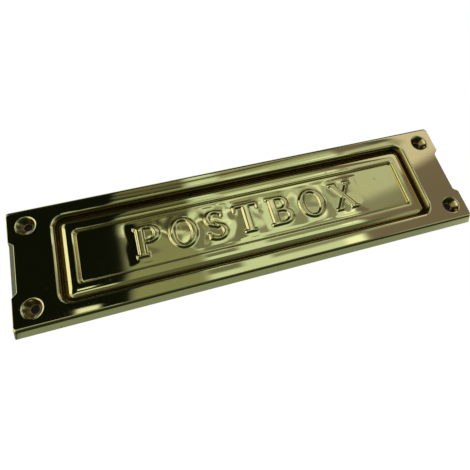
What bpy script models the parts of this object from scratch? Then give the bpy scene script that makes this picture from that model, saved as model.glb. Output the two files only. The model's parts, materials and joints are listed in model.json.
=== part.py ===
"""A pressed-brass letter plate with a sprung flap that opens inwards.

The plate stands upright as on a door. +X runs along its length, +Z is up and the front faces -Y.
The origin is the middle of the plate on the door's surface, which is the plane y = 0.
"""

import math

import bmesh
import bpy
from mathutils import Matrix, Vector

MM = 0.001

# Face plate: a flat face, a splayed skirt down to the door, and a lip rolled in round the aperture
FACE_LENGTH = 250.0 * MM
FACE_HEIGHT = 61.5 * MM
FACE_DEPTH = 6.2 * MM
FACE_CORNER = 1.6 * MM
FOOT_CORNER = 0.8 * MM
SHEET = 1.0 * MM
SKIRT_SPLAY = 2.4 * MM
SKIRT_BEND = 2.0 * MM
APERTURE_LENGTH = 205.0 * MM
APERTURE_HEIGHT = 45.4 * MM
APERTURE_CORNER = 5.2 * MM
LIP_RADIUS = 1.8 * MM
LIP_DEPTH = 4.8 * MM

# A shallow notch in the middle of each end of the face
NOTCH_HALF = 13.4 * MM
NOTCH_BLEND = 2.8 * MM
NOTCH_DEPTH = 2.6 * MM

# Screw dimples: pressed cones with a plain hole
SCREW_SPACING_X = 232.0 * MM
SCREW_SPACING_Z = 43.3 * MM
DIMPLE_RADIUS = 5.0 * MM
DIMPLE_DEPTH = 2.9 * MM
SCREW_HOLE_RADIUS = 2.25 * MM

# Flap: a pressed sheet with a raised bead round a sunk panel
FLAP_SHEET = 0.8 * MM
FLAP_OVERLAP = 2.2 * MM
FLAP_FLANGE_DEPTH = 5.2 * MM
BEAD_START = 0.5 * MM
BEAD_WIDTH = 7.9 * MM
BEAD_CREST = 5.7 * MM
BEAD_CREST_DEPTH = 2.5 * MM
VALLEY_DEPTH = 4.1 * MM
VALLEY_RUN = 0.2 * MM
OUTER_FULLNESS = 2.0
INNER_FULLNESS = 4.0
PANEL_INSET = 9.3 * MM
PANEL_DEPTH = 3.85 * MM
SMALLEST_CORNER = 2.2 * MM

# Hinge: a fixed rod over the aperture, two curled leaves on the flap
ROD_RADIUS = 1.25 * MM
ROD_Y = -1.45 * MM
ROD_Z = 27.6 * MM
ROD_STICKS_OUT = 0.9 * MM
LEAF_SHEET = 0.8 * MM
LEAF_WIDTH = 16.0 * MM
LEAF_X = 62.0 * MM
LEAF_BOTTOM_Z = 12.5 * MM
CURL_OUTER = 2.35 * MM
CURL_TURN = math.radians(250)

# Brackets that carry the rod, and the clips on its ends
BRACKET_SHEET = 1.0 * MM
BRACKET_X = 106.0 * MM
BRACKET_FOOT = 4.2 * MM
BRACKET_HALF_WIDTH = 2.4 * MM
CLIP_RADIUS = 2.1 * MM
CLIP_THICKNESS = 0.5 * MM
CLIP_DISH = 0.4 * MM

# Return springs: torsion coils round the rod
WIRE_RADIUS = 0.4 * MM
COIL_RADIUS = 2.0 * MM
COIL_TURNS = 7
COIL_PITCH = 1.1 * MM
COIL_POINTS = 10
SPRING_X = 90.0 * MM
SPRING_LEG_Z = 14.0 * MM
SPRING_FOOT = 4.0 * MM

GAP = 0.3 * MM
OVERCUT = 0.5 * MM
EDGE_BREAK = 0.25 * MM
ROUND_SIDES = 24
CORNER_STEPS = 5
FACE_Y = -FACE_DEPTH
FACE_BACK_Y = FACE_Y + SHEET
SKIRT_ANGLE = math.atan2(SKIRT_SPLAY, FACE_DEPTH)


# ---------------------------------------------------------------- scene and materials


def clear_scene():
    for obj in list(bpy.data.objects):
        bpy.data.objects.remove(obj, do_unlink=True)


def make_collection(name):
    collection = bpy.data.collections.new(name)
    bpy.context.scene.collection.children.link(collection)
    return collection


def make_material(name, colour, roughness):
    material = bpy.data.materials.new(name)
    material.use_nodes = True
    shader = material.node_tree.nodes["Principled BSDF"]
    shader.inputs["Base Color"].default_value = (*colour, 1.0)
    shader.inputs["Roughness"].default_value = roughness
    shader.inputs["Metallic"].default_value = 1.0
    return material


def add_mesh_object(name, bm, collection, material=None):
    bmesh.ops.recalc_face_normals(bm, faces=bm.faces)
    mesh = bpy.data.meshes.new(name)
    bm.to_mesh(mesh)
    bm.free()
    mesh.shade_smooth()
    mesh.set_sharp_from_angle(angle=math.radians(35))
    obj = bpy.data.objects.new(name, mesh)
    collection.objects.link(obj)
    if material:
        mesh.materials.append(material)
    return obj


def add_cutter(name, bm):
    cutter = add_mesh_object(name, bm, CUTTERS)
    cutter.hide_render = True
    cutter.display_type = "WIRE"
    return cutter


def add_boolean(obj, operation, cutter):
    modifier = obj.modifiers.new(f"{operation.lower()} {cutter.name}", "BOOLEAN")
    modifier.operation = operation
    modifier.solver = "EXACT"
    modifier.object = cutter


def set_origin(obj, point):
    """Moves the object's origin to a point and leaves its shape where it is."""
    obj.data.transform(Matrix.Translation(-Vector(point)))
    obj.location = point


# ---------------------------------------------------------------- shared shapes


def cylinder_along(bm, axis, radius, start, end, sides=ROUND_SIDES, end_radius=None):
    """A closed cylinder or cone between two points on a line along the X or the Y axis."""
    turn = Matrix.Rotation(math.radians(90), 4, "Y" if axis == "X" else "X")
    middle = (Vector(start) + Vector(end)) / 2
    length = (Vector(end) - Vector(start)).length
    far_radius = radius if end_radius is None else end_radius
    first, last = (radius, far_radius) if axis == "X" else (far_radius, radius)
    bmesh.ops.create_cone(
        bm,
        cap_ends=True,
        segments=sides,
        radius1=first,
        radius2=last,
        depth=length,
        matrix=Matrix.Translation(middle) @ turn,
    )


def box_between(bm, low, high):
    size = Vector(high) - Vector(low)
    middle = (Vector(high) + Vector(low)) / 2
    matrix = Matrix.Translation(middle) @ Matrix.Diagonal((*size, 1.0))
    bmesh.ops.create_cube(bm, size=1.0, matrix=matrix)


def arc_points(centre, radius, start, end, steps):
    """Points on an arc in a plane, with both ends."""
    angles = [start + (end - start) * i / steps for i in range(steps + 1)]
    return [(centre[0] + radius * math.cos(a), centre[1] + radius * math.sin(a)) for a in angles]


def notched_heights():
    """Heights of the points on a face end: close together where the notch begins and ends."""
    edge = [NOTCH_HALF + NOTCH_BLEND * share for share in (0.5, 0.25, 0.0, -0.25, -0.5)]
    return [-z for z in edge] + [0.0] + edge[::-1]


def notch_share(z):
    """1 inside the notch, 0 outside it, with a smooth change between."""
    t = (abs(z) - NOTCH_HALF) / NOTCH_BLEND + 0.5
    t = min(max(t, 0.0), 1.0)
    return 1.0 - t * t * (3.0 - 2.0 * t)


def rounded_ring(half_x, half_z, corner, y, notch=None):
    """The points of a rounded rectangle in the plane y, from the right side's foot round to it again.

    With a notch depth, even zero, its short sides have their points where the notch needs them.
    """
    inner_x, inner_z = half_x - corner, half_z - corner
    heights = notched_heights()
    if notch is None:
        spaces = len(heights) + 1
        heights = [inner_z * (2.0 * (i + 1) / spaces - 1.0) for i in range(len(heights))]
        notch = 0.0
    long_side = [inner_x * share for share in (0.6, 0.2, -0.2, -0.6)]
    points = [(half_x - notch * notch_share(z), z) for z in heights]
    points += arc_points((inner_x, inner_z), corner, 0.0, math.pi / 2, CORNER_STEPS)
    points += [(x, half_z) for x in long_side]
    points += arc_points((-inner_x, inner_z), corner, math.pi / 2, math.pi, CORNER_STEPS)
    points += [(-half_x + notch * notch_share(z), z) for z in reversed(heights)]
    points += arc_points((-inner_x, -inner_z), corner, math.pi, 1.5 * math.pi, CORNER_STEPS)
    points += [(-x, -half_z) for x in long_side]
    points += arc_points((inner_x, -inner_z), corner, -math.pi / 2, 0.0, CORNER_STEPS)
    return [Vector((x, y, z)) for x, z in points]


def loft(bm, rings, closed):
    """Joins rings of points into a surface. A closed loft runs from the last ring back to the first."""
    rows = [[bm.verts.new(point) for point in ring] for ring in rings]
    count = len(rows[0])
    pairs = list(zip(rows, rows[1:]))
    if closed:
        pairs.append((rows[-1], rows[0]))
    for row, next_row in pairs:
        for i in range(count):
            j = (i + 1) % count
            bm.faces.new((row[i], row[j], next_row[j], next_row[i]))
    if not closed:
        bm.faces.new(rows[0])
        bm.faces.new(rows[-1])


def offset_line(points, distance):
    """A line of 2D points moved sideways by a distance, square to its own direction."""
    moved = []
    last = len(points) - 1
    for i, point in enumerate(points):
        before = Vector(points[max(i - 1, 0)])
        after = Vector(points[min(i + 1, last)])
        along = (after - before).normalized()
        moved.append((point[0] - along.y * distance, point[1] + along.x * distance))
    return moved


# ---------------------------------------------------------------- face plate


def skirt_profile():
    """(inset from the face's edge, y) from the flat of the face, over the bend and down to the door."""
    turn = math.pi / 2 - SKIRT_ANGLE
    start = SKIRT_BEND * math.tan(turn / 2)
    arc = arc_points((start, FACE_Y + SKIRT_BEND), SKIRT_BEND, -math.pi / 2, -math.pi / 2 - turn, 4)
    return arc + [(-SKIRT_SPLAY, 0.0)]


def skirt_back_profile():
    """The inner side of the skirt, from its foot on the door back up to the flat of the face."""
    turn = math.pi / 2 - SKIRT_ANGLE
    foot_width = SHEET / math.cos(SKIRT_ANGLE)
    start = SKIRT_BEND * math.tan(turn / 2)
    inner_bend = SKIRT_BEND - SHEET
    arc = arc_points((start, FACE_Y + SKIRT_BEND), inner_bend, -math.pi / 2 - turn, -math.pi / 2, 2)
    return [(foot_width - SKIRT_SPLAY, 0.0)] + arc


def lip_profile(radius, wall_shift):
    """(distance outside the aperture's wall, y) from the end of the wall up round the lip."""
    centre = (LIP_RADIUS, FACE_Y + LIP_RADIUS)
    arc = arc_points(centre, radius, math.pi, 1.5 * math.pi, 4)
    return [(wall_shift, FACE_Y + LIP_DEPTH)] + arc


def aperture_ring(distance, y):
    return rounded_ring(
        APERTURE_LENGTH / 2 + distance, APERTURE_HEIGHT / 2 + distance, APERTURE_CORNER + distance, y
    )


def face_edge_ring(inset, y):
    """A ring round the face's outer edge. The notch is gone at the foot, and the corners are sharper."""
    notch = 0.0 if y == 0.0 else NOTCH_DEPTH
    splayed = min(max(-inset / SKIRT_SPLAY, 0.0), 1.0)
    corner = FACE_CORNER + (FOOT_CORNER - FACE_CORNER) * splayed
    return rounded_ring(FACE_LENGTH / 2 - inset, FACE_HEIGHT / 2 - inset, corner, y, notch)


def make_face_sheet():
    rings = [aperture_ring(distance, y) for distance, y in lip_profile(LIP_RADIUS, 0.0)]
    rings += [face_edge_ring(inset, y) for inset, y in skirt_profile()]
    rings += [face_edge_ring(inset, y) for inset, y in skirt_back_profile()]
    back_lip = lip_profile(LIP_RADIUS - SHEET, SHEET)
    rings += [aperture_ring(distance, y) for distance, y in reversed(back_lip)]
    bm = bmesh.new()
    loft(bm, rings, closed=True)
    return add_mesh_object("face_plate", bm, PARTS, BRASS)


def screw_places():
    return [
        (side * SCREW_SPACING_X / 2, level * SCREW_SPACING_Z / 2)
        for side in (-1, 1)
        for level in (-1, 1)
    ]


def make_face_plate():
    plate = make_face_sheet()
    slope = (DIMPLE_RADIUS - SCREW_HOLE_RADIUS) / DIMPLE_DEPTH
    wall = SHEET * math.hypot(1.0, slope)
    boss_top = FACE_Y + SHEET / 2
    boss_foot = FACE_Y + DIMPLE_DEPTH + SHEET / 2
    cones = bmesh.new()
    sinks = bmesh.new()
    for x, z in screw_places():
        top_radius = DIMPLE_RADIUS + wall - slope * SHEET / 2
        foot_radius = top_radius - slope * (boss_foot - boss_top)
        cylinder_along(cones, "Y", top_radius, (x, boss_top, z), (x, boss_foot, z), end_radius=foot_radius)
        outer = DIMPLE_RADIUS + slope * OVERCUT
        sink_foot = FACE_Y + DIMPLE_DEPTH
        cylinder_along(
            sinks, "Y", outer, (x, FACE_Y - OVERCUT, z), (x, sink_foot, z), end_radius=SCREW_HOLE_RADIUS
        )
    holes = bmesh.new()
    for x, z in screw_places():
        cylinder_along(holes, "Y", SCREW_HOLE_RADIUS, (x, FACE_Y, z), (x, boss_foot + OVERCUT, z))
    add_boolean(plate, "UNION", add_cutter("dimple_cones", cones))
    add_boolean(plate, "DIFFERENCE", add_cutter("countersinks", sinks))
    add_boolean(plate, "DIFFERENCE", add_cutter("screw_holes", holes))
    return plate


# ---------------------------------------------------------------- flap


def flap_front_profile():
    """(distance inside the aperture's wall, depth below the face) from the flap's edge to its panel."""
    bead_end = BEAD_START + BEAD_WIDTH
    bead = []
    for i in range(9):
        share = -1.0 + i / 4.0
        run = BEAD_CREST - BEAD_START if share < 0 else bead_end - BEAD_CREST
        foot_depth = FLAP_FLANGE_DEPTH if share < 0 else VALLEY_DEPTH
        fullness = OUTER_FULLNESS if share < 0 else INNER_FULLNESS
        fallen = 1.0 - (1.0 - abs(share) ** fullness) ** (1.0 / fullness)
        depth = BEAD_CREST_DEPTH + (foot_depth - BEAD_CREST_DEPTH) * fallen
        bead.append((BEAD_CREST + share * run, depth))
    edge = (-FLAP_OVERLAP, FLAP_FLANGE_DEPTH)
    valley = (bead_end + VALLEY_RUN, VALLEY_DEPTH)
    return [edge] + bead + [valley, (PANEL_INSET, PANEL_DEPTH)]


def flap_ring(inside, depth):
    corner = max(APERTURE_CORNER - inside, SMALLEST_CORNER)
    return rounded_ring(
        APERTURE_LENGTH / 2 - inside, APERTURE_HEIGHT / 2 - inside, corner, FACE_Y + depth
    )


def make_flap():
    front = flap_front_profile()
    back = offset_line(front, FLAP_SHEET)
    back[0] = (front[0][0], front[0][1] + FLAP_SHEET)
    back[-1] = (front[-1][0], front[-1][1] + FLAP_SHEET)
    rings = [flap_ring(inside, depth) for inside, depth in reversed(front)]
    rings += [flap_ring(inside, depth) for inside, depth in back]
    bm = bmesh.new()
    loft(bm, rings, closed=False)
    flap = add_mesh_object("flap", bm, PARTS, BRASS)
    set_origin(flap, (0.0, ROD_Y, ROD_Z))
    return flap


# ---------------------------------------------------------------- hinge


def leaf_profile():
    """The leaf's section as a closed outline of (y, z): a flat tongue curled round the rod at its top."""
    centre = (ROD_Y, ROD_Z)
    back_y = ROD_Y + CURL_OUTER
    outer = arc_points(centre, CURL_OUTER, 0.0, CURL_TURN, 20)
    inner = arc_points(centre, CURL_OUTER - LEAF_SHEET, CURL_TURN, 0.0, 20)
    return [(back_y, LEAF_BOTTOM_Z)] + outer + inner + [(back_y - LEAF_SHEET, LEAF_BOTTOM_Z)]


def extruded_outline(name, outline, half_depth, stand):
    """A flat outline given a thickness, as a mesh, then stood up by a matrix."""
    curve = bpy.data.curves.new(name, "CURVE")
    curve.dimensions = "2D"
    curve.fill_mode = "BOTH"
    curve.extrude = half_depth
    spline = curve.splines.new("POLY")
    spline.points.add(len(outline) - 1)
    for point, (across, up) in zip(spline.points, outline):
        point.co = (across, up, 0.0, 1.0)
    spline.use_cyclic_u = True
    flat = bpy.data.objects.new(name + "_outline", curve)
    PARTS.objects.link(flat)
    bpy.context.view_layer.update()
    evaluated = flat.evaluated_get(bpy.context.evaluated_depsgraph_get())
    mesh = bpy.data.meshes.new_from_object(evaluated)
    bpy.data.objects.remove(flat, do_unlink=True)
    bm = bmesh.new()
    bm.from_mesh(mesh)
    bmesh.ops.remove_doubles(bm, verts=bm.verts, dist=0.001 * MM)
    bm.transform(stand)
    return add_mesh_object(name, bm, PARTS, STEEL)


def make_flap_hinge(name, middle_x):
    outline = [(y - ROD_Y, z - ROD_Z) for y, z in leaf_profile()]
    across_x = Matrix(((0, 0, 1, 0), (1, 0, 0, 0), (0, 1, 0, 0), (0, 0, 0, 1)))
    leaf = extruded_outline(name, outline, LEAF_WIDTH / 2, across_x)
    leaf.location = (middle_x, ROD_Y, ROD_Z)
    return leaf


def make_rod():
    end = BRACKET_X + BRACKET_SHEET + GAP * 2 + CLIP_THICKNESS + ROD_STICKS_OUT
    bm = bmesh.new()
    cylinder_along(bm, "X", ROD_RADIUS, (-end, ROD_Y, ROD_Z), (end, ROD_Y, ROD_Z))
    rod = add_mesh_object("hinge_rod", bm, PARTS, STEEL)
    bevel = rod.modifiers.new("end chamfer", "BEVEL")
    bevel.width = EDGE_BREAK
    bevel.segments = 1
    bevel.limit_method = "ANGLE"
    return rod


def make_bracket(name, side):
    """An angle of sheet: a foot on the back of the face and an ear that carries the rod."""
    foot_y = FACE_BACK_Y + GAP - ROD_Y
    ear_y = BRACKET_HALF_WIDTH
    outline = [
        (0.0, ear_y),
        (0.0, foot_y),
        (side * BRACKET_FOOT, foot_y),
        (side * BRACKET_FOOT, foot_y + BRACKET_SHEET),
        (side * BRACKET_SHEET, foot_y + BRACKET_SHEET),
        (side * BRACKET_SHEET, ear_y),
    ]
    bracket = extruded_outline(name, outline, BRACKET_HALF_WIDTH, Matrix.Identity(4))
    bracket.location = (side * BRACKET_X, ROD_Y, ROD_Z)
    bevel = bracket.modifiers.new("soft corners", "BEVEL")
    bevel.width = EDGE_BREAK
    bevel.segments = 1
    hole = bmesh.new()
    hole_start = (side * (BRACKET_X - OVERCUT), ROD_Y, ROD_Z)
    hole_end = (side * (BRACKET_X + BRACKET_SHEET + OVERCUT), ROD_Y, ROD_Z)
    cylinder_along(hole, "X", ROD_RADIUS + GAP, hole_start, hole_end)
    add_boolean(bracket, "DIFFERENCE", add_cutter(name + "_hole", hole))
    return bracket


def make_clip(name, side):
    """A dished push-on clip, turned about the rod's axis."""
    near = BRACKET_X + BRACKET_SHEET + GAP
    profile = [
        (CLIP_RADIUS, near),
        (CLIP_RADIUS, near + CLIP_THICKNESS),
        (ROD_RADIUS + GAP, near + CLIP_THICKNESS + CLIP_DISH),
        (ROD_RADIUS + GAP, near + CLIP_DISH),
    ]
    bm = bmesh.new()
    rows = []
    for radius, x in profile:
        angles = [2 * math.pi * i / ROUND_SIDES for i in range(ROUND_SIDES)]
        rows.append([Vector((side * x, radius * math.cos(a), radius * math.sin(a))) for a in angles])
    loft(bm, rows, closed=True)
    clip = add_mesh_object(name, bm, PARTS, STEEL)
    clip.location = (0.0, ROD_Y, ROD_Z)
    return clip


# ---------------------------------------------------------------- return springs


def spring_path(side):
    """The wire's centre line about the rod's axis, for the spring at one end of the plate.

    It starts at a foot on the back of the face, winds round the rod and ends in a leg behind the flap.
    """
    face_touch = FACE_BACK_Y + GAP + WIRE_RADIUS - ROD_Y
    start_x = side * (COIL_TURNS * COIL_PITCH + COIL_PITCH) / 2
    path = [
        Vector((start_x + side * SPRING_FOOT, face_touch, COIL_RADIUS)),
        Vector((start_x + side * WIRE_RADIUS, face_touch, COIL_RADIUS)),
        Vector((start_x, face_touch + WIRE_RADIUS, COIL_RADIUS)),
    ]
    total = COIL_TURNS + 0.25
    steps = round(total * COIL_POINTS)
    for i in range(steps + 1):
        turned = total * i / steps
        angle = math.pi / 2 - 2 * math.pi * turned
        x = start_x - side * COIL_PITCH * turned
        path.append(Vector((x, COIL_RADIUS * math.cos(angle), COIL_RADIUS * math.sin(angle))))
    path.append(Vector((path[-1].x, COIL_RADIUS, SPRING_LEG_Z - ROD_Z)))
    return path


def make_spring(name, side):
    curve = bpy.data.curves.new(name, "CURVE")
    curve.dimensions = "3D"
    curve.bevel_depth = WIRE_RADIUS
    curve.bevel_resolution = 2
    curve.use_fill_caps = True
    path = spring_path(side)
    spline = curve.splines.new("POLY")
    spline.points.add(len(path) - 1)
    for point, place in zip(spline.points, path):
        point.co = (*place, 1.0)
    spring = bpy.data.objects.new(name, curve)
    spring.location = (side * SPRING_X, ROD_Y, ROD_Z)
    curve.materials.append(SPRING_STEEL)
    PARTS.objects.link(spring)
    return spring


clear_scene()
PARTS = make_collection("letter_plate")
CUTTERS = make_collection("cutters")
BRASS = make_material("polished brass", (0.78, 0.68, 0.32), 0.12)
STEEL = make_material("zinc plated steel", (0.60, 0.61, 0.60), 0.35)
SPRING_STEEL = make_material("spring wire", (0.45, 0.45, 0.46), 0.30)

make_face_plate()
make_flap()
make_rod()
for side_name, side_sign in (("left", -1), ("right", 1)):
    make_flap_hinge("flap_hinge_" + side_name, side_sign * LEAF_X)
    make_bracket("rod_bracket_" + side_name, side_sign)
    make_clip("rod_clip_" + side_name, side_sign)
    make_spring("return_spring_" + side_name, side_sign)
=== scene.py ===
"""Looks of the pressed-brass letter plate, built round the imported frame.

+X runs along the plate, +Z is up, the front faces -Y, and y = 0 is the door's surface.
"""

import json
import math

import bmesh
import bpy
import numpy as np
from mathutils import Matrix, Vector
from mathutils.geometry import delaunay_2d_cdt


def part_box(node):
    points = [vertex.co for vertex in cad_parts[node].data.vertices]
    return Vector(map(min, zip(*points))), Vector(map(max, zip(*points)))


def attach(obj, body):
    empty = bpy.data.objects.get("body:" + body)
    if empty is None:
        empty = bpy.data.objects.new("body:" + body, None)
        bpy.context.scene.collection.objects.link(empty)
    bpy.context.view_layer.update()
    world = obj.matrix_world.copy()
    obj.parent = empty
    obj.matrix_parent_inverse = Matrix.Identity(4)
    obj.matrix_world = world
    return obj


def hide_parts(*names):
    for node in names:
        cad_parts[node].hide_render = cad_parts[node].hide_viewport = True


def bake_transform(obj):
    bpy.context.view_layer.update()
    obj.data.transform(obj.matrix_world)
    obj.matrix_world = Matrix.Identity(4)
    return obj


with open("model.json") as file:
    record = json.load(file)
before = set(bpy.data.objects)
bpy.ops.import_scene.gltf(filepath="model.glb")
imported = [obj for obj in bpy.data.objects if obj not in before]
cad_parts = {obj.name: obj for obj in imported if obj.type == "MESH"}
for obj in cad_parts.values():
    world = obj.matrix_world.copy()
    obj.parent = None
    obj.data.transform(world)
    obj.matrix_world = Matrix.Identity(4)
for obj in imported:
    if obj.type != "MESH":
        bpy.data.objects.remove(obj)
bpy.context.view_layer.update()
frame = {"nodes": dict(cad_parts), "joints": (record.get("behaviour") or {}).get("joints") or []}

MM = 0.001

# ---------------------------------------------------------------- sizes taken from the frame

PLATE_LOW, PLATE_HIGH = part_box("face_plate")
_, FLAP_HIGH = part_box("flap")
JOINT = frame["joints"][0]
AXIS_Y, AXIS_Z = JOINT["pos_m"][1], JOINT["pos_m"][2]
FACE_Y = PLATE_LOW.y
FOOT_HALF_X = PLATE_HIGH.x
FOOT_HALF_Z = PLATE_HIGH.z

SHEET = 1.0 * MM
SKIRT_SPLAY = 2.4 * MM
SKIRT_BEND = 2.0 * MM
END_BEND = 0.2 * MM
FACE_HALF_X = FOOT_HALF_X - SKIRT_SPLAY
FACE_HALF_Z = FOOT_HALF_Z - SKIRT_SPLAY
FACE_CORNER = 1.6 * MM
FOOT_CORNER = 0.8 * MM
SKIRT_ANGLE = math.atan2(SKIRT_SPLAY, -FACE_Y)

FLAP_SHEET = 0.8 * MM
FLAP_OVERLAP = 2.2 * MM
APERTURE_HALF_X = FLAP_HIGH.x - FLAP_OVERLAP
APERTURE_HALF_Z = FLAP_HIGH.z - FLAP_OVERLAP
APERTURE_CORNER = 5.2 * MM
LIP_RADIUS = 1.8 * MM
LIP_DEPTH = 4.8 * MM

NOTCH_HALF = 13.4 * MM
NOTCH_BLEND = 2.8 * MM
NOTCH_DEPTH = 2.6 * MM

SCREW_X = 116.0 * MM
SCREW_Z = 21.65 * MM
DIMPLE_RADIUS = 4.75 * MM
DIMPLE_DEPTH = 2.9 * MM
DIMPLE_EDGE = 5.6 * MM
SCREW_HOLE_RADIUS = 2.25 * MM

BEAD_START = 0.5 * MM
BEAD_CREST = 5.7 * MM
BEAD_END = 8.4 * MM
BEAD_OUTER_FULLNESS = 2.0
BEAD_INNER_FULLNESS = 6.0
FLANGE_DEPTH = 5.2 * MM
CREST_DEPTH = 2.5 * MM
VALLEY_DEPTH = 4.1 * MM
PANEL_INSET = 9.3 * MM
PANEL_DEPTH = 3.85 * MM
SMALLEST_CORNER = 2.2 * MM

LIP_END_ROUND = 0.15 * MM
DIMPLE_RIM_OUT = 0.35 * MM
DIMPLE_RIM_IN = 0.25 * MM
DIMPLE_RIM_DROP = 0.35 * MM
VALLEY_RUN = 0.2 * MM

WAVE_HEIGHT = 0.02
WAVE_LIFT = 1.7
CROWN_HEIGHT = 0.05
CROWN_HALF_WIDTH = 3.0

CORNER_STEPS = 14
LONG_STEPS = 110
DIMPLE_SIDES = 72
FILL_STEP = 1.6 * MM
FILL_MARGIN = 0.6 * MM
FLAT_STRIP = 0.3 * MM
WELD_DISTANCE = 0.0005 * MM
SMALLEST_AREA = 1e-12
SHEET_SHARP_ANGLE = math.radians(62)
PART_SHARP_ANGLE = math.radians(40)


# ---------------------------------------------------------------- plane outlines


def arc(centre, radius, start, end, steps):
    """Points on an arc in a plane, with both ends."""
    angles = np.linspace(start, end, steps + 1)
    return np.stack([centre[0] + radius * np.cos(angles), centre[1] + radius * np.sin(angles)], 1)


def smooth(t):
    t = np.clip(t, 0.0, 1.0)
    return t * t * (3.0 - 2.0 * t)


def notch_share(z):
    """1 inside the notch, 0 outside it, with a smooth change between."""
    return 1.0 - smooth((np.abs(z) - NOTCH_HALF) / NOTCH_BLEND + 0.5)


def notched_heights():
    """Heights of the points on a face end, close together where the notch begins and ends."""
    blend = NOTCH_HALF + NOTCH_BLEND * np.linspace(0.6, -0.6, 13)
    middle = np.linspace(blend[-1], 0.0, 9)[1:]
    upper = np.concatenate([blend, middle])
    return np.concatenate([-upper[:-1], upper[::-1]])


def rounded_outline(half_x, half_z, corner, notch=None):
    """A rounded rectangle as (x, z) points, anticlockwise from the foot of the right side.

    With a notch depth, even zero, its short sides have their points where the notch needs them.
    """
    inner_x, inner_z = half_x - corner, half_z - corner
    heights = notched_heights()
    if notch is None:
        heights = inner_z * np.linspace(-1.0, 1.0, len(heights) + 2)[1:-1]
        notch = 0.0
    right = np.stack([half_x - notch * notch_share(heights), heights], 1)
    xs = np.linspace(inner_x, -inner_x, LONG_STEPS + 1)[1:-1]
    top = np.stack([xs, np.full(len(xs), half_z)], 1)
    parts = [
        right,
        arc((inner_x, inner_z), corner, 0.0, math.pi / 2, CORNER_STEPS),
        top,
        arc((-inner_x, inner_z), corner, math.pi / 2, math.pi, CORNER_STEPS),
        -right,
        arc((-inner_x, -inner_z), corner, math.pi, 1.5 * math.pi, CORNER_STEPS),
        -top,
        arc((inner_x, -inner_z), corner, -math.pi / 2, 0.0, CORNER_STEPS),
    ]
    return np.concatenate(parts)


def lift(outline, y):
    """Plane (x, z) points as 3D points at a depth y."""
    return np.stack([outline[:, 0], np.full(len(outline), y), outline[:, 1]], 1)


# ---------------------------------------------------------------- mesh building


def inside_polygon(points, polygon):
    """True for each point that lies inside a closed plane outline (even-odd rule)."""
    inside = np.zeros(len(points), bool)
    x, z = points[:, 0], points[:, 1]
    for (x0, z0), (x1, z1) in zip(polygon, np.roll(polygon, -1, axis=0)):
        if z0 == z1:
            continue
        crosses = (z0 > z) != (z1 > z)
        inside ^= crosses & (x < x0 + (z - z0) * (x1 - x0) / (z1 - z0))
    return inside


class Sheet:
    """Collects points and faces of one pressed sheet, patch by patch."""

    def __init__(self):
        self.points = []
        self.faces = []
        self.count = 0

    def add_points(self, points):
        start = self.count
        self.points.append(np.asarray(points, float))
        self.count += len(points)
        return start

    def loft(self, rings):
        """Joins closed rings of equal length into bands."""
        n = len(rings[0])
        starts = [self.add_points(ring) for ring in rings]
        for a, b in zip(starts, starts[1:]):
            for i in range(n):
                j = (i + 1) % n
                self.faces.append((a + i, a + j, b + j, b + i))

    def fill(self, loops, extra, y):
        """Fills the flat space inside the first loop and outside the others with triangles."""
        points = [Vector(p) for loop in loops for p in loop]
        edges = []
        start = 0
        for loop in loops:
            n = len(loop)
            edges += [(start + i, start + (i + 1) % n) for i in range(n)]
            start += n
        points += [Vector(p) for p in extra]
        found = delaunay_2d_cdt(points, edges, [], 0, 1e-9, False)
        plane = np.array([(p.x, p.y) for p in found[0]])
        first = self.add_points(lift(plane, y))
        corners = np.array(found[2])
        a, b, c = (plane[corners[:, k]] for k in range(3))
        area = 0.5 * np.abs((b - a)[:, 0] * (c - a)[:, 1] - (b - a)[:, 1] * (c - a)[:, 0])
        middles = (a + b + c) / 3
        kept = (area > SMALLEST_AREA) & inside_polygon(middles, loops[0])
        for hole in loops[1:]:
            kept &= ~inside_polygon(middles, hole)
        self.faces += [tuple(int(first + i) for i in face) for face in corners[kept]]

    def grid(self, xs, zs, ys):
        """A grid of quads over plane coordinates, with a depth for each point."""
        gx, gz = np.meshgrid(xs, zs, indexing="ij")
        first = self.add_points(np.stack([gx.ravel(), ys.ravel(), gz.ravel()], 1))
        across = len(zs)
        i, j = np.meshgrid(np.arange(len(xs) - 1), np.arange(across - 1), indexing="ij")
        a = (first + i * across + j).ravel()
        quads = np.stack([a, a + across, a + across + 1, a + 1], 1)
        self.faces += [tuple(quad) for quad in quads.tolist()]

    def build(self, name, bend=None):
        """Makes the mesh object: welds the patches and turns all faces outwards."""
        points = np.concatenate(self.points)
        mesh = bpy.data.meshes.new(name)
        mesh.from_pydata(points.tolist(), [], self.faces)
        bm = bmesh.new()
        bm.from_mesh(mesh)
        bmesh.ops.remove_doubles(bm, verts=bm.verts, dist=WELD_DISTANCE)
        bmesh.ops.recalc_face_normals(bm, faces=bm.faces)
        if bend:
            for vert in bm.verts:
                vert.co.y += bend(vert.co)
        bm.to_mesh(mesh)
        bm.free()
        mesh.shade_smooth()
        mesh.set_sharp_from_angle(angle=SHEET_SHARP_ANGLE)
        obj = bpy.data.objects.new(name, mesh)
        bpy.context.scene.collection.objects.link(obj)
        return obj


def inside_rounded(x, z, half_x, half_z, corner):
    """Whether a point lies inside a rounded rectangle about the origin."""
    qx = abs(x) - (half_x - corner)
    qz = abs(z) - (half_z - corner)
    outside = math.hypot(max(qx, 0.0), max(qz, 0.0)) + min(max(qx, qz), 0.0)
    return outside < corner


def spaced_points(half_x, half_z, step, keep):
    """A staggered grid of points in a rectangle, where keep(x, z) is true."""
    rows = int(2 * half_z / step)
    found = []
    for row in range(rows + 1):
        z = -half_z + row * step
        shift = 0.5 * step * (row % 2)
        for x in np.arange(-half_x + shift, half_x, step):
            if keep(x, z):
                found.append((x, z))
    return found


# ---------------------------------------------------------------- face plate


def aperture_outline(distance):
    return rounded_outline(
        APERTURE_HALF_X + distance, APERTURE_HALF_Z + distance, APERTURE_CORNER + distance
    )


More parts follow.
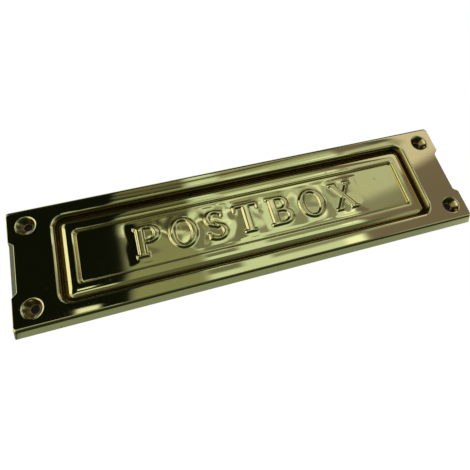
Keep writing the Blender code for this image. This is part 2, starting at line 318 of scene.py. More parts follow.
def edge_inset(depth, bend, thickness):
    """How far in from the face's edge the skirt's outer (0) or inner (SHEET) side is at a depth."""
    turn = math.pi / 2 - SKIRT_ANGLE
    start = bend * math.tan(turn / 2)
    radius = bend - thickness
    if depth < bend - radius * math.cos(turn):
        return start - math.sqrt(max(radius**2 - (bend - depth) ** 2, 0.0))
    return thickness / math.cos(SKIRT_ANGLE) - depth * math.tan(SKIRT_ANGLE)


def skirt_ring(depth, thickness, strip=0.0):
    """The skirt's outline at a depth below the face. The ends are bent more sharply than the long sides."""
    foot = depth / -FACE_Y
    notch = NOTCH_DEPTH * min(1.0, (1.0 - foot) * 1.2)
    corner = FACE_CORNER + (FOOT_CORNER - FACE_CORNER) * foot
    end_inset = edge_inset(depth, END_BEND, thickness)
    long_inset = edge_inset(depth, SKIRT_BEND, thickness)
    half_x, half_z = FACE_HALF_X - end_inset - strip, FACE_HALF_Z - long_inset - strip
    outline = rounded_outline(half_x, half_z, corner, notch)
    return lift(outline, FACE_Y + depth)


def skirt_rings():
    """From the flat of the face over the bend, down to the door, round the foot and up the inside."""
    turn = math.pi / 2 - SKIRT_ANGLE
    depths = [SKIRT_BEND * (1.0 - math.cos(turn * share)) for share in np.linspace(0.0, 1.0, 15)]
    straight = -FACE_Y - depths[-1]
    depths += [depths[-1] + straight * share for share in (0.2, 0.4, 0.6, 0.8, 0.97, 1.0)]
    rings = [skirt_ring(0.0, 0.0, FLAT_STRIP)]
    rings += [skirt_ring(depth, 0.0) for depth in depths]
    back = [-FACE_Y, -FACE_Y * 0.6, SKIRT_BEND, SKIRT_BEND * 0.75, SKIRT_BEND * 0.6, SKIRT_BEND * 0.53, SHEET]
    rings += [skirt_ring(depth, SHEET) for depth in back]
    return rings


def lip_rings():
    """From the flat of the face round the lip, down the wall, round its end and up behind."""
    centre = (LIP_RADIUS, FACE_Y + LIP_RADIUS)
    end_y = FACE_Y + LIP_DEPTH
    soft = LIP_END_ROUND
    front = arc(centre, LIP_RADIUS, 1.5 * math.pi, math.pi, 12)
    back = arc(centre, LIP_RADIUS - SHEET, math.pi, 1.5 * math.pi, 6)
    wall = [(0.0, front[-1][1] + (end_y - front[-1][1]) * share) for share in (0.35, 0.7)]
    end = [(0.0, end_y - soft), (soft, end_y), (SHEET - soft, end_y), (SHEET, end_y - soft)]
    profile = [(LIP_RADIUS + FLAT_STRIP, FACE_Y)] + list(front) + wall + end + list(back)
    return [lift(aperture_outline(distance), y) for distance, y in profile]


def dimple_profile():
    """(radius, height over the face) from the flat of the face, round the rim and down to the hole."""
    bowl_start = (DIMPLE_RADIUS - DIMPLE_RIM_IN, -DIMPLE_RIM_DROP)
    points = [(DIMPLE_EDGE, 0.0), (DIMPLE_RADIUS + DIMPLE_RIM_OUT, 0.0), bowl_start]
    for share in np.linspace(0.15, 1.0, 8):
        radius = bowl_start[0] + (SCREW_HOLE_RADIUS - bowl_start[0]) * share
        height = bowl_start[1] + (-DIMPLE_DEPTH - bowl_start[1]) * share**0.85
        points.append((radius, height))
    return bend_smooth(evenly(np.array(points), 0.12 * MM), 5)


def dimple_rings(x, z):
    """From the flat of the face into the dimple, through the hole and back over the dimple's back."""
    front = dimple_profile()
    back = offset_line(front[::-1], -SHEET)
    back = bend_smooth(back[back[:, 0] > SCREW_HOLE_RADIUS + 0.02 * MM], 3)
    back[0] = (SCREW_HOLE_RADIUS, back[0][1])
    back[-1] = (DIMPLE_EDGE, -SHEET)
    turns = np.linspace(0.0, 2 * math.pi, DIMPLE_SIDES, endpoint=False)
    rings = []
    for radius, height in list(front) + list(back):
        ring = [(x + radius * math.cos(a), FACE_Y - height, z + radius * math.sin(a)) for a in turns]
        rings.append(np.array(ring))
    return rings


def screw_places():
    return [(sx * SCREW_X, sz * SCREW_Z) for sx in (-1, 1) for sz in (-1, 1)]


def plate_waviness(point):
    """The slight waves of pressed sheet and the crown of its long bands, none at the foot."""
    x, z = point.x / MM, point.z / MM
    wave = math.sin(x / 9.3 + 0.6) * math.sin(z / 7.1 + 1.1) + 0.7 * math.sin(x / 17.0 - z / 12.0)
    near_face = min(max(point.y / FACE_Y, 0.0), 1.0)
    band = (FACE_HALF_Z + APERTURE_HALF_Z + LIP_RADIUS) / (2 * MM)
    crown = min(((abs(z) - band) / CROWN_HALF_WIDTH) ** 2, 1.5)
    return (WAVE_HEIGHT * (wave + WAVE_LIFT) + CROWN_HEIGHT * crown) * MM * near_face


def make_face_plate():
    sheet = Sheet()
    skirt = skirt_rings()
    lip = lip_rings()
    sheet.loft(skirt)
    sheet.loft(lip)
    dimples = [dimple_rings(x, z) for x, z in screw_places()]
    for rings in dimples:
        sheet.loft(rings)

    def keep_for(end_x, end_z, lip_distance):
        reach = lip_distance + FILL_MARGIN

        def keep(x, z):
            hole = (APERTURE_HALF_X + reach, APERTURE_HALF_Z + reach, APERTURE_CORNER + reach)
            notch = NOTCH_DEPTH * float(notch_share(z))
            if inside_rounded(x, z, *hole):
                return False
            if abs(x) > end_x - FILL_MARGIN - notch or abs(z) > end_z - FILL_MARGIN:
                return False
            return all(math.hypot(x - sx, z - sz) > DIMPLE_EDGE + FILL_MARGIN for sx, sz in screw_places())

        return keep

    for edge_ring, lip_ring, side in ((skirt[0], lip[0], 0), (skirt[-1], lip[-1], -1)):
        y = edge_ring[0][1]
        loops = [edge_ring[:, [0, 2]], lip_ring[:, [0, 2]]] + [rings[side][:, [0, 2]] for rings in dimples]
        lip_distance = lip_ring[:, 2].max() - APERTURE_HALF_Z
        keep = keep_for(edge_ring[:, 0].max(), edge_ring[:, 2].max(), lip_distance)
        extra = spaced_points(FACE_HALF_X, FACE_HALF_Z, FILL_STEP, keep)
        sheet.fill(loops, extra, y)
    return sheet.build("plate_sheet", plate_waviness)


# ---------------------------------------------------------------- flap

LETTER_HEIGHT = 17.2 * MM
LETTER_RISE = 1.0 * MM
LETTER_ROUND = 0.95 * MM
WORD_WIDTH = 129.0 * MM
LETTER_BLUR = 0.28 * MM
PULL_HEIGHT = 0.22 * MM
PULL_REACH = 2.6 * MM
PULL_BLUR = 1.2 * MM
RIPPLE_HEIGHT = 0.07 * MM
SWELL_HEIGHT = 0.08 * MM
GRID_STEP = 0.27 * MM
STEM = 2.0
THIN = 1.0
SERIF = 0.9


def stroke(x, z, start, end, half_start, half_end=None):
    """Signed distance to a bar with square-cut width, tapering from one end to the other."""
    half_end = half_start if half_end is None else half_end
    dx, dz = end[0] - start[0], end[1] - start[1]
    length = math.hypot(dx, dz)
    ux, uz = dx / length, dz / length
    along = (x - start[0]) * ux + (z - start[1]) * uz
    across = np.abs((x - start[0]) * -uz + (z - start[1]) * ux)
    t = np.clip(along / length, 0.0, 1.0)
    half = half_start + (half_end - half_start) * t
    beyond = np.maximum(-along, along - length)
    side = across - half
    corner = np.hypot(np.maximum(beyond, 0), np.maximum(side, 0))
    return np.where((beyond > 0) & (side > 0), corner, np.maximum(beyond, side))


def bowl(x, z, centre, radii, thick, thin, from_angle=-180.0, to_angle=180.0):
    """Signed distance to an oval stroke that is thick at its sides and thin at top and bottom."""
    dx, dz = x - centre[0], z - centre[1]
    angle = np.arctan2(dz / radii[1], dx / radii[0])
    reach = np.hypot(dx / radii[0], dz / radii[1])
    scale = np.hypot(radii[0] * np.cos(angle), radii[1] * np.sin(angle))
    half = thin + (thick - thin) * np.cos(angle) ** 2
    distance = np.abs(reach - 1.0) * scale - half
    low, high = math.radians(from_angle), math.radians(to_angle)
    if to_angle - from_angle < 359.0:
        middle = (low + high) / 2
        off = np.abs((angle - middle + math.pi) % (2 * math.pi) - math.pi) - (high - low) / 2
        distance = np.maximum(distance, off * scale)
    return distance


def serif_bar(x, z, centre_x, level, half_width):
    return stroke(x, z, (centre_x - half_width, level), (centre_x + half_width, level), SERIF)


def letter_p(x, z):
    return [
        stroke(x, z, (3.2, 0.5), (3.2, 16.7), STEM),
        serif_bar(x, z, 3.2, 0.75, 3.3),
        serif_bar(x, z, 2.6, 16.45, 2.6),
        stroke(x, z, (3.0, 16.3), (8.0, 16.3), THIN),
        stroke(x, z, (3.0, 8.0), (8.0, 8.0), THIN),
        bowl(x, z, (7.6, 12.15), (4.6, 4.15), 1.75, THIN, -92.0, 92.0),
    ]


def letter_o(x, z):
    return [bowl(x, z, (7.6, 8.6), (6.1, 7.7), 1.8, THIN)]


def letter_s(x, z):
    return [
        bowl(x, z, (5.9, 12.4), (4.3, 3.9), 1.6, THIN, 35.0, 255.0),
        bowl(x, z, (5.9, 4.7), (4.6, 3.9), 1.6, THIN, -145.0, 75.0),
        stroke(x, z, (4.4, 9.3), (7.6, 7.8), 1.5),
        stroke(x, z, (9.9, 12.6), (9.9, 16.4), 0.6, 0.9),
        stroke(x, z, (1.6, 0.8), (1.6, 4.6), 0.9, 0.6),
    ]


def letter_t(x, z):
    return [
        stroke(x, z, (7.6, 0.5), (7.6, 16.7), STEM),
        serif_bar(x, z, 7.6, 0.75, 3.6),
        stroke(x, z, (0.9, 16.3), (14.3, 16.3), THIN),
        stroke(x, z, (1.0, 16.6), (0.7, 12.9), 1.0, 0.55),
        stroke(x, z, (14.2, 16.6), (14.5, 12.9), 1.0, 0.55),
    ]


def letter_b(x, z):
    return [
        stroke(x, z, (3.2, 0.5), (3.2, 16.7), STEM),
        serif_bar(x, z, 2.6, 0.75, 2.6),
        serif_bar(x, z, 2.6, 16.45, 2.6),
        stroke(x, z, (3.0, 16.3), (7.6, 16.3), THIN),
        stroke(x, z, (3.0, 8.9), (8.0, 8.9), THIN),
        stroke(x, z, (3.0, 0.9), (8.0, 0.9), THIN),
        bowl(x, z, (7.2, 12.6), (4.0, 3.7), 1.6, THIN, -92.0, 92.0),
        bowl(x, z, (7.6, 4.9), (4.9, 4.0), 1.75, THIN, -92.0, 92.0),
    ]


def letter_x(x, z):
    return [
        stroke(x, z, (2.6, 16.3), (12.6, 0.9), 1.7),
        stroke(x, z, (12.4, 16.3), (2.6, 0.9), THIN),
        serif_bar(x, z, 2.9, 16.45, 2.6),
        serif_bar(x, z, 12.2, 16.45, 2.3),
        serif_bar(x, z, 2.8, 0.75, 2.3),
        serif_bar(x, z, 12.4, 0.75, 2.7),
    ]


WORD = [
    (letter_p, 13.6),
    (letter_o, 15.2),
    (letter_s, 11.8),
    (letter_t, 15.2),
    (letter_b, 14.0),
    (letter_o, 15.2),
    (letter_x, 15.4),
]


def word_distance(x, z):
    """Signed distance to the word's strokes in metres, negative inside them."""
    gap = (WORD_WIDTH / MM - sum(width for _, width in WORD)) / (len(WORD) - 1)
    left = -WORD_WIDTH / MM / 2
    base = -LETTER_HEIGHT / MM / 2
    best = np.full(x.shape, 1e3)
    for letter, width in WORD:
        for piece in letter(x / MM - left, z / MM - base):
            best = np.minimum(best, piece)
        left += width + gap
    return best * MM


def blur(field, radius):
    """Smooths a grid of heights with a small bell curve."""
    reach = int(3 * radius) + 1
    steps = np.arange(-reach, reach + 1)
    weights = np.exp(-0.5 * (steps / radius) ** 2)
    weights /= weights.sum()
    for axis in (0, 1):
        padded = np.pad(field, [(reach, reach) if a == axis else (0, 0) for a in (0, 1)], mode="edge")
        field = sum(
            w * np.take(padded, np.arange(field.shape[axis]) + i, axis=axis) for i, w in enumerate(weights)
        )
    return field


def relief(xs, zs):
    """How far the panel is raised at each grid point: round-shouldered letters and the pull round them."""
    gx, gz = np.meshgrid(xs, zs, indexing="ij")
    distance = word_distance(gx, gz)
    depth_in = np.clip(-distance / LETTER_ROUND, 0.0, 1.0)
    letters = LETTER_RISE * np.sqrt(1.0 - (1.0 - depth_in) ** 2)
    letters = blur(letters, LETTER_BLUR / GRID_STEP)
    pull = PULL_HEIGHT * np.exp(-np.clip(distance, 0.0, None) / PULL_REACH)
    pull = blur(pull, PULL_BLUR / GRID_STEP)
    ripple = np.sin(gx / (4.6 * MM) + 1.3 * np.sin(gz / (5.0 * MM)))
    pull += RIPPLE_HEIGHT * ripple * np.sin(gz / (6.1 * MM) + 0.4)
    pull += SWELL_HEIGHT * np.sin(gx / (9.7 * MM) + 0.9)
    edge_x = smooth((xs[-1] - np.abs(gx)) / (4.0 * MM))
    edge_z = smooth((zs[-1] - np.abs(gz)) / (1.5 * MM))
    return (letters + pull) * edge_x * edge_z


def bead_depth(u):
    """Depth of the bead's front below the face, at a distance inside the aperture's wall."""
    run, foot, fullness = BEAD_CREST - BEAD_START, FLANGE_DEPTH, BEAD_OUTER_FULLNESS
    if u > BEAD_CREST:
        run, foot, fullness = BEAD_END - BEAD_CREST, VALLEY_DEPTH, BEAD_INNER_FULLNESS
    share = min(abs(u - BEAD_CREST) / run, 1.0)
    fallen = 1.0 - (1.0 - share**fullness) ** (1.0 / fullness)
    return CREST_DEPTH + (foot - CREST_DEPTH) * fallen


def bend_smooth(points, rounds):
    """Eases the corners of a line of points, its ends excepted."""
    for _ in range(rounds):
        points[1:-1] = 0.25 * points[:-2] + 0.5 * points[1:-1] + 0.25 * points[2:]
    return points


def evenly(points, step):
    """The same line, in a plane or in space, with points at even distances."""
    lengths = np.concatenate([[0.0], np.cumsum(np.linalg.norm(np.diff(points, axis=0), axis=1))])
    places = np.linspace(0.0, lengths[-1], int(lengths[-1] / step) + 1)
    return np.stack([np.interp(places, lengths, axis) for axis in points.T], 1)


def flap_profile():
    """(distance inside the aperture's wall, depth below the face) from the flap's edge to its panel."""
    around = np.cos(np.linspace(0.0, math.pi / 2, 40))
    outer = [(BEAD_CREST - (BEAD_CREST - BEAD_START) * c, 0.0) for c in around]
    inner = [(BEAD_CREST + (BEAD_END - BEAD_CREST) * c, 0.0) for c in around[-2::-1]]
    bead = [(u, bead_depth(u)) for u, _ in outer + inner]
    step_start, step_end = BEAD_END + VALLEY_RUN, PANEL_INSET - 0.05 * MM
    points = [(-FLAP_OVERLAP, FLANGE_DEPTH), (BEAD_START - 0.3 * MM, FLANGE_DEPTH)] + bead
    points += [(step_start, VALLEY_DEPTH), (step_end, PANEL_DEPTH), (PANEL_INSET + 0.6 * MM, PANEL_DEPTH)]
    return bend_smooth(evenly(np.array(points), 0.1 * MM), 4)


def offset_line(points, distance):
    """A plane line moved square to itself, by finite differences."""
    along = np.gradient(points, axis=0)
    along /= np.linalg.norm(along, axis=1)[:, None]
    return points + distance * np.stack([-along[:, 1], along[:, 0]], 1)


def flap_outline(inside):
    corner = max(APERTURE_CORNER - inside, SMALLEST_CORNER)
    return rounded_outline(APERTURE_HALF_X - inside, APERTURE_HALF_Z - inside, corner)


def make_flap():
    front = flap_profile()
    back = offset_line(front, FLAP_SHEET)
    back = bend_smooth(back, 4)
    back[0] = (front[0][0], FLANGE_DEPTH + FLAP_SHEET)
    back[-1] = (front[-1][0], PANEL_DEPTH + FLAP_SHEET)
    sheet = Sheet()
    profile = list(front[::-1]) + list(back)
    sheet.loft([lift(flap_outline(inside), FACE_Y + depth) for inside, depth in profile])
    panel = flap_outline(front[-1][0])
    half_x, half_z = panel[:, 0].max(), panel[:, 1].max()
    grid_x = WORD_WIDTH / 2 + 6.0 * MM
    grid_z = half_z - 0.5 * MM
    xs = np.linspace(-grid_x, grid_x, int(2 * grid_x / GRID_STEP))
    zs = np.linspace(-grid_z, grid_z, int(2 * grid_z / GRID_STEP))
    raised = relief(xs, zs)
    border = [(x, zs[0]) for x in xs] + [(xs[-1], z) for z in zs[1:]]
    border += [(x, zs[-1]) for x in xs[-2::-1]] + [(xs[0], z) for z in zs[-2:0:-1]]
    border = np.array(border)

    def keep(x, z):
        return abs(x) > grid_x + FILL_MARGIN

    extra = spaced_points(half_x - 2 * FILL_MARGIN, half_z - 2 * FILL_MARGIN, FILL_STEP, keep)
    for depth in (PANEL_DEPTH, PANEL_DEPTH + FLAP_SHEET):
        sheet.grid(xs, zs, FACE_Y + depth - raised)
        sheet.fill([panel, border], extra, FACE_Y + depth)
    return sheet.build("flap_sheet")


# ---------------------------------------------------------------- where the brass is dull, tarnished and painted with shade


def aperture_distance(x, z):
    """Signed distance from the aperture's wall, positive on the face's side."""
    qx = np.abs(x) - (APERTURE_HALF_X - APERTURE_CORNER)
    qz = np.abs(z) - (APERTURE_HALF_Z - APERTURE_CORNER)
    outside = np.hypot(np.maximum(qx, 0.0), np.maximum(qz, 0.0))
    return outside + np.minimum(np.maximum(qx, qz), 0.0) - APERTURE_CORNER


def store(obj, name, values):
    """Keeps one number for each point, for the material to read."""
    made = obj.data.attributes.new(name, "FLOAT", "POINT")
    made.data.foreach_set("value", np.asarray(values, np.float32))


def mark_dull_and_shaded_areas(obj):
    """Stores how dark each point is in the groove, the valley's crease and the dimples, partly patina and
    partly painted shade, and whether it is on the unpolished back.
    """
    mesh = obj.data
    count = len(mesh.vertices)
    points = np.empty(count * 3, np.float32)
    normals = np.empty(count * 3, np.float32)
    mesh.vertices.foreach_get("co", points)
    mesh.vertices.foreach_get("normal", normals)
    x, y, z = points.reshape(-1, 3).T
    depth = y - FACE_Y
    from_wall = aperture_distance(x, z)
    # darker the deeper it lies in the groove down the aperture's wall, the bead's valley and the screw
    # dimples: partly patina, partly painted shade
    groove = smooth((depth - 0.35 * MM) / (0.6 * MM)) * smooth((from_wall + 1.5 * MM) / (0.8 * MM))
    groove *= (from_wall < LIP_RADIUS) * 0.9
    crease = smooth(1.0 - np.abs(from_wall + BEAD_END + 0.35 * MM) / (0.7 * MM)) * (depth > 3.9 * MM) * 0.35
    dimple = np.zeros(count)
    for sx, sz in screw_places():
        near = np.hypot(x - sx, z - sz) < DIMPLE_EDGE
        dimple += near * smooth((depth - 0.5 * MM) / (1.2 * MM)) * 0.95
    store(obj, "tarnish", np.clip(groove + crease + dimple, 0.0, 1.0))
    store(obj, "back", smooth((normals.reshape(-1, 3)[:, 1] - 0.1) * 4.0))


# ---------------------------------------------------------------- finishes


class Finish:
    """A material under construction: a Principled shader and short calls for its nodes."""

    def __init__(self, name, colour, roughness, metallic=1.0):
        self.material = bpy.data.materials.new(name)
        self.material.use_nodes = True
        self.tree = self.material.node_tree
        self.shader = self.tree.nodes["Principled BSDF"]
        self.shader.inputs["Base Color"].default_value = (*colour, 1.0)
        self.shader.inputs["Roughness"].default_value = roughness
        self.shader.inputs["Metallic"].default_value = metallic
        self.place = self.node("ShaderNodeTexCoord").outputs["Object"]

    def node(self, kind, **values):
        made = self.tree.nodes.new(kind)
        for name, value in values.items():
            setattr(made, name, value)
        return made

    def link(self, value, socket):
        if isinstance(value, bpy.types.NodeSocket):
            self.tree.links.new(value, socket)
        else:
            socket.default_value = value

    def noise(self, scale, stretch=(1.0, 1.0, 1.0), detail=3.0):
        mapping = self.node("ShaderNodeMapping")
        self.link(self.place, mapping.inputs["Vector"])
        mapping.inputs["Scale"].default_value = [scale * s for s in stretch]
        noise = self.node("ShaderNodeTexNoise")
        noise.inputs["Scale"].default_value = 1.0
        noise.inputs["Detail"].default_value = detail
        self.link(mapping.outputs[0], noise.inputs["Vector"])
        return noise.outputs["Fac"]

    def attribute(self, name):
        return self.node("ShaderNodeAttribute", attribute_name=name).outputs["Fac"]

    def span(self, value, low, high, out_low=0.0, out_high=1.0):
        made = self.node("ShaderNodeMapRange")
        self.link(value, made.inputs["Value"])
        made.inputs["From Min"].default_value = low
        made.inputs["From Max"].default_value = high
        made.inputs["To Min"].default_value = out_low
        made.inputs["To Max"].default_value = out_high
        return made.outputs[0]

    def math(self, operation, first, second):
        made = self.node("ShaderNodeMath", operation=operation)
        made.use_clamp = operation == "ADD"
        self.link(first, made.inputs[0])
        self.link(second, made.inputs[1])
        return made.outputs[0]

    def mix(self, factor, first, second):
        made = self.node("ShaderNodeMix", data_type="RGBA")
        self.link(factor, made.inputs["Factor"])
        for value, socket in ((first, made.inputs["A"]), (second, made.inputs["B"])):
            self.link((*value, 1.0) if isinstance(value, tuple) else value, socket)
        return made.outputs["Result"]

    def blend(self, factor, first, second):
        made = self.node("ShaderNodeMix", data_type="FLOAT")
        self.link(factor, made.inputs["Factor"])
        self.link(first, made.inputs["A"])
        self.link(second, made.inputs["B"])
        return made.outputs["Result"]

    def bump(self, height, distance, strength=1.0):
        made = self.node("ShaderNodeBump")
        made.inputs["Distance"].default_value = distance
        made.inputs["Strength"].default_value = strength
        self.link(height, made.inputs["Height"])
        self.link(made.outputs[0], self.shader.inputs["Normal"])

    def colour(self, value):
        self.link(value, self.shader.inputs["Base Color"])

    def roughness(self, value):
        self.link(value, self.shader.inputs["Roughness"])


def polished_brass():
    """Bright in front; brown in the grooves, the bead's valley and the screw dimples, partly patina and
    partly painted shade; dull as rolled at the back.
    """
    brass = Finish("polished_brass", (0.80, 0.74, 0.36), 0.05)
    tarnish = brass.attribute("tarnish")
    back = brass.attribute("back")
    clouds = brass.noise(55.0, detail=4.0)
    fine = brass.noise(900.0, (0.25, 1.0, 1.0), detail=2.0)
    specks = brass.span(brass.noise(420.0, detail=1.0), 0.765, 0.79)
    polished = brass.mix(brass.span(clouds, 0.35, 0.7), (0.81, 0.755, 0.375), (0.79, 0.725, 0.345))
    rolled = brass.mix(clouds, (0.70, 0.58, 0.29), (0.60, 0.50, 0.27))
    # random specks of real staining, added to the groove, valley and dimple mask that is partly patina and
    # partly painted shade
    stain_and_shade = brass.math("ADD", tarnish, brass.math("MULTIPLY", specks, 0.5))
    clean = brass.mix(back, polished, rolled)
    # this brown is painted shade in the recesses as well as patina
    brass.colour(brass.mix(stain_and_shade, clean, (0.24, 0.165, 0.065)))
    smooth_front = brass.span(clouds, 0.3, 0.75, 0.035, 0.065)
    rough = brass.blend(back, smooth_front, brass.span(fine, 0.3, 0.7, 0.24, 0.36))
    brass.roughness(brass.blend(stain_and_shade, rough, 0.28))
    brass.bump(fine, 0.004 * MM, 0.5)
    return brass.material


def zinc_plate():
    zinc = Finish("zinc_plate", (0.62, 0.63, 0.62), 0.3)
    patches = zinc.noise(260.0, detail=3.0)
    zinc.colour(zinc.mix(patches, (0.52, 0.55, 0.60), (0.70, 0.69, 0.62)))
    zinc.roughness(zinc.span(patches, 0.3, 0.7, 0.24, 0.40))
    zinc.bump(zinc.noise(2200.0, detail=2.0), 0.006 * MM)
    return zinc.material


def drawn_steel(name, colour, roughness):
    """Bright steel with fine lines along X, the way rod and wire are drawn."""
    steel = Finish(name, colour, roughness)
    lines = steel.noise(1500.0, (0.03, 1.0, 1.0), detail=3.0)
    darker = tuple(0.72 * c for c in colour)
    steel.colour(steel.mix(lines, colour, darker))
    steel.roughness(steel.span(lines, 0.3, 0.7, roughness * 0.8, roughness * 1.4))
    steel.bump(lines, 0.005 * MM)
    return steel.material


def solder_metal():
    solder = Finish("solder", (0.66, 0.66, 0.64), 0.33)
    lumps = solder.noise(800.0, detail=4.0)
    solder.colour(solder.mix(lumps, (0.72, 0.71, 0.69), (0.45, 0.44, 0.41)))
    solder.roughness(solder.span(lumps, 0.3, 0.7, 0.22, 0.5))
    solder.bump(lumps, 0.08 * MM)
    return solder.material


BRASS = polished_brass()
ZINC = zinc_plate()
ROD_STEEL = drawn_steel("rod_steel", (0.60, 0.60, 0.58), 0.2)
SPRING_STEEL = drawn_steel("spring_steel", (0.40, 0.40, 0.41), 0.26)
SOLDER = solder_metal()


def add_piece(obj, material, body, slot_name, *nodes):
    """Gives a piece its material, the body it rides on and the CAD nodes it stands for; slot_name is not
    used.
    """
    obj.data.materials.append(material)
    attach(obj, body)
    if nodes:
        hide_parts(*nodes)


plate = make_face_plate()
mark_dull_and_shaded_areas(plate)
add_piece(plate, BRASS, "plate", "plate_brass", "face_plate")

flap = make_flap()
mark_dull_and_shaded_areas(flap)
add_piece(flap, BRASS, "flap", "flap_brass", "flap")


# ---------------------------------------------------------------- hinge hardware

GAP = 0.3 * MM
EDGE_BREAK = 0.12 * MM
WIRE_RADIUS = 0.4 * MM
COIL_RADIUS = 2.0 * MM
COIL_TURNS = 7
COIL_PITCH = 1.1 * MM
SPRING_X = 90.0 * MM
SPRING_LEG_Z = 14.0 * MM
SPRING_FOOT = 4.0 * MM
CLIP_RADIUS = 2.1 * MM
CLIP_THICKNESS = 0.5 * MM
CLIP_DISH = 0.4 * MM
CLIP_TEETH = 6
SPRING_STEP = 0.22 * MM
SOLDER_RADIUS = 0.42 * MM


def new_object(name, bm):
    mesh = bpy.data.meshes.new(name)
    bmesh.ops.recalc_face_normals(bm, faces=bm.faces)
    bm.to_mesh(mesh)
    bm.free()
    mesh.shade_smooth()
    mesh.set_sharp_from_angle(angle=PART_SHARP_ANGLE)
    obj = bpy.data.objects.new(name, mesh)
    bpy.context.scene.collection.objects.link(obj)
    return obj


def refined(name, node):
    """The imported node's own shape with its edges broken."""
    bm = bmesh.new()
    bm.from_mesh(frame["nodes"][node].data)
    bmesh.ops.remove_doubles(bm, verts=bm.verts, dist=0.001 * MM)
    bmesh.ops.dissolve_limit(bm, angle_limit=math.radians(1.0), verts=bm.verts, edges=bm.edges)
    edges = [e for e in bm.edges if len(e.link_faces) == 2 and e.calc_face_angle() > PART_SHARP_ANGLE]
    bmesh.ops.bevel(
        bm, geom=edges, offset=EDGE_BREAK, segments=3, profile=0.5, affect="EDGES", clamp_overlap=True
    )
    return new_object(name, bm)


def close_loft(bm, rings, around=False):
    """Joins rings of points into a closed skin, with end caps or running back to the first ring."""
    rows = [[bm.verts.new(point) for point in ring] for ring in rings]
    pairs = list(zip(rows, rows[1:])) + ([(rows[-1], rows[0])] if around else [])
    for row, other in pairs:
        for i in range(len(row)):
            j = (i + 1) % len(row)
            bm.faces.new((row[i], row[j], other[j], other[i]))
    if not around:
        bm.faces.new(rows[0])
        bm.faces.new(rows[-1])


def tube(name, path, radii, sides=16):
    """A round wire along a path, with a radius for each point."""
    path = np.asarray(path, float)
    along = np.gradient(path, axis=0)
    along /= np.linalg.norm(along, axis=1)[:, None]
    across = np.cross(along[0], (0.31, 0.52, 0.79))
    turns = np.linspace(0.0, 2 * math.pi, sides, endpoint=False)
    rings = []
    for point, direction, radius in zip(path, along, np.broadcast_to(radii, len(path))):
        across = across - np.dot(across, direction) * direction
        across /= np.linalg.norm(across)
        other = np.cross(direction, across)
        rings.append([point + radius * (math.cos(a) * across + math.sin(a) * other) for a in turns])
    bm = bmesh.new()
    close_loft(bm, rings)
    return new_object(name, bm)


def spring_path(side):
    """A foot along the back of the face, the coil round the rod, and a leg down behind the flap."""
    touch = FACE_Y + SHEET + GAP + WIRE_RADIUS - AXIS_Y
    start_x = side * (COIL_TURNS + 1) * COIL_PITCH / 2
    turned = np.linspace(0.0, COIL_TURNS + 0.25, 260)
    angles = math.pi / 2 - 2 * math.pi * turned
    coil = np.stack(
        [start_x - side * COIL_PITCH * turned, COIL_RADIUS * np.cos(angles), COIL_RADIUS * np.sin(angles)], 1
    )
    foot = [
        (start_x + side * SPRING_FOOT, touch, COIL_RADIUS),
        (start_x + side * WIRE_RADIUS, touch, COIL_RADIUS),
        (start_x, touch + WIRE_RADIUS, COIL_RADIUS),
    ]
    leg = [(coil[-1][0], COIL_RADIUS, SPRING_LEG_Z - AXIS_Z)]
    path = evenly(np.concatenate([foot, coil, leg]), SPRING_STEP)
    return bend_smooth(path, 3) + (side * SPRING_X, AXIS_Y, AXIS_Z)


def make_spring(side_name, side):
    path = spring_path(side)
    spring = tube("spring_wire_" + side_name, path, WIRE_RADIUS)
    spring.data.materials.append(SPRING_STEEL)
    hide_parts("return_spring_" + side_name)
    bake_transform(spring)


def make_clip(side_name, side):
    """A dished push-on clip whose inner edge is cut into teeth that grip the rod."""
    low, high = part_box("rod_clip_" + side_name)
    near = min(abs(low.x), abs(high.x))
    rod_low, rod_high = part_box("hinge_rod")
    rod_radius = (rod_high.z - rod_low.z) / 2
    profile = [
        (CLIP_RADIUS, 0.05 * MM),
        (CLIP_RADIUS - 0.1 * MM, 0.0),
        (rod_radius, CLIP_DISH),
        (rod_radius, CLIP_DISH + 0.6 * CLIP_THICKNESS),
        (CLIP_RADIUS - 0.1 * MM, CLIP_THICKNESS),
        (CLIP_RADIUS, CLIP_THICKNESS - 0.05 * MM),
    ]
    turns = np.linspace(0.0, 2 * math.pi, 96, endpoint=False)
    tooth = smooth((np.cos(turns * CLIP_TEETH) + 0.55) * 4.0)
    rings = []
    for radius, out in profile:
        inner = radius == rod_radius
        reach = radius + (0.05 * MM + 0.4 * MM * (1.0 - tooth)) * inner
        x = np.full(len(turns), side * (near + out))
        rings.append(np.stack([x, AXIS_Y + reach * np.cos(turns), AXIS_Z + reach * np.sin(turns)], 1))
    bm = bmesh.new()
    close_loft(bm, rings, around=True)
    clip = new_object("clip_" + side_name, bm)
    add_piece(clip, SPRING_STEEL, "plate", "spring_steel", "rod_clip_" + side_name)


def solder_bead(name, start, end, radius, body, slot_name):
    """A low lumpy fillet of solder along a joint."""
    share = np.linspace(0.0, 1.0, 25)
    path = np.outer(1.0 - share, start) + np.outer(share, end)
    lumps = 1.0 + 0.12 * np.sin(share * 17.0 + start[0] * 1900.0)
    radii = radius * np.sqrt(np.clip(1.0 - (2.0 * share - 1.0) ** 4, 0.02, 1.0)) * lumps
    add_piece(tube(name, path, radii, 12), SOLDER, body, slot_name)


